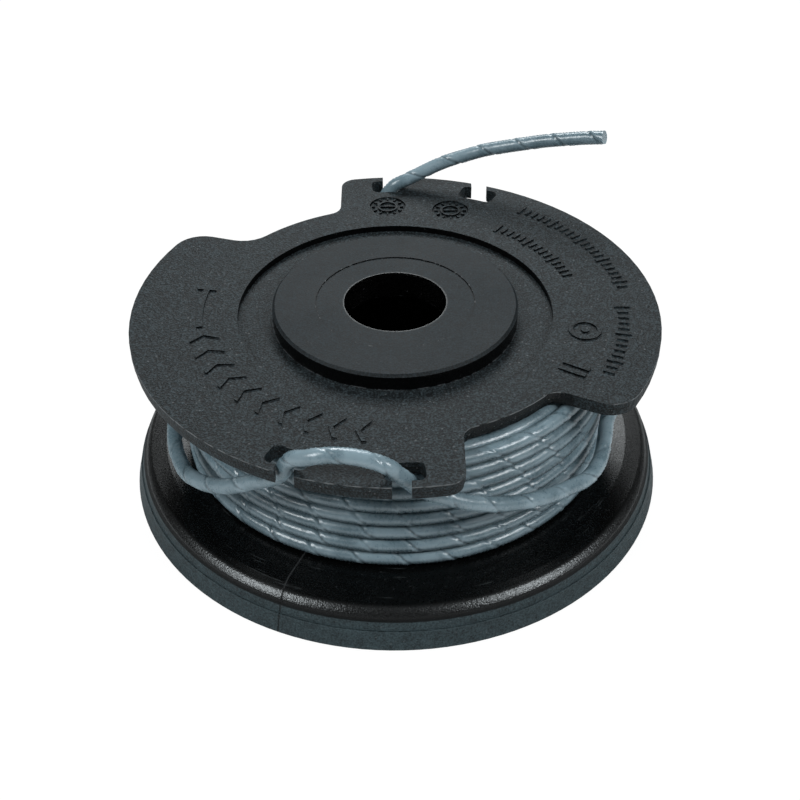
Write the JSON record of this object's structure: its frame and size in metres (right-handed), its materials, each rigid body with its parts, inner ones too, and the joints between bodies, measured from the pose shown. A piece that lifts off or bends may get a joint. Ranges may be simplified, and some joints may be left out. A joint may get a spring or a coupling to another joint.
{
  "type": "trimmer line spool",
  "caption": "Flanged line spool for a grass trimmer head, with a bored hub, slotted tabs, a domed lower flange and wound cutting line whose end stands free.",
  "frame": {"origin": "centre of the lower flange's rim circle, on the plane that the spool stands on", "axes": "+Z along the spool's axis towards the slotted upper flange, -Y towards the tab that the line is looped over"},
  "size_m": [0.0652, 0.0652, 0.0333],
  "materials": {
    "spool_nylon": "fine spark-eroded black moulding, glossy in the groove between the flanges",
    "line_nylon": "satin grey extruded line with a twisted crease"
  },
  "bodies": {
    "root": {"spool": "spool_nylon", "line_coil": "line_nylon", "line_tail": "line_nylon"}
  },
  "joints": []
}
